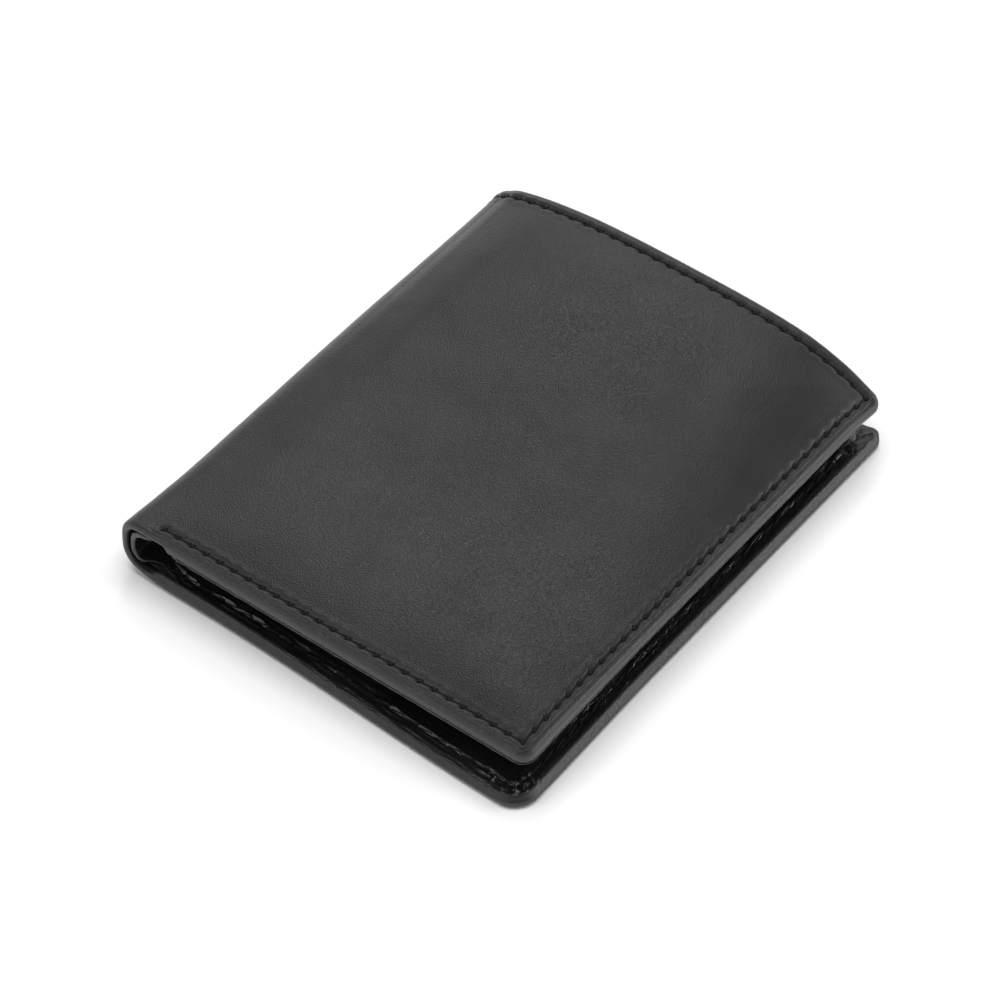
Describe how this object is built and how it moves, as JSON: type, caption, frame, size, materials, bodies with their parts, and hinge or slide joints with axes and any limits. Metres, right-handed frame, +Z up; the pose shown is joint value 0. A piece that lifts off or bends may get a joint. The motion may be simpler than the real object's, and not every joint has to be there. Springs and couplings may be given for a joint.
{
  "type": "bifold wallet",
  "caption": "Portrait bifold leather wallet, closed, with turned and stitched rims, stepped card slots, an identity window and an open-topped banknote compartment.",
  "frame": {"origin": "centre of the closed wallet's footprint, on the surface it lies on", "axes": "+X from the fold to the open edge, +Y from the near end to the mouth of the banknote compartment, +Z up, through the closed wallet's thickness"},
  "size_m": [0.1, 0.12, 0.0207],
  "materials": {
    "outer_leather": "smooth fine-grained black calf leather with a soft satin sheen",
    "inner_leather": "glossy black leather with fine crinkles",
    "board": "bonded leather board, matt",
    "lining_fabric": "black twill lining",
    "clear_film": "clear flexible film",
    "thread": "waxed black polyester thread"
  },
  "bodies": {
    "back_half": {"back_cover": "outer_leather", "back_stiffener": "board", "back_cover_lining": "lining_fabric", "back_bill_wall": "lining_fabric", "back_card_panel": "inner_leather", "back_pocket_backing": "lining_fabric", "back_card_slot_1": "inner_leather", "back_card_slot_2": "inner_leather", "back_card_slot_3": "inner_leather", "back_edge_stitching": "thread", "id_window_film": "clear_film", "id_window_frame": "inner_leather"},
    "spine": {"spine_cover": "outer_leather", "spine_lining": "lining_fabric", "spine_bill_wall": "lining_fabric", "spine_hem_stitching": "thread"},
    "front_half": {"front_cover": "outer_leather", "front_stiffener": "board", "front_cover_lining": "lining_fabric", "front_bill_wall": "lining_fabric", "front_card_panel": "inner_leather", "front_pocket_backing": "lining_fabric", "front_card_slot_1": "inner_leather", "front_card_slot_2": "inner_leather", "front_card_slot_3": "inner_leather", "front_card_slot_4": "inner_leather", "front_edge_stitching": "thread"}
  },
  "joints": [
    {"name": "spine_fold", "type": "hinge", "parent": "back_half", "child": "spine", "pos_m": [-0.04773, 0, 0.00157], "axis": [0, -1, 0], "range_deg": [0, 87]},
    {"name": "cover_fold", "type": "hinge", "parent": "spine", "child": "front_half", "pos_m": [-0.04773, 0, 0.01303], "axis": [0, -1, 0], "range_deg": [0, 87]}
  ],
  "couplings": [
    {"joint": "cover_fold", "follows": "spine_fold", "ratio": 1}
  ]
}
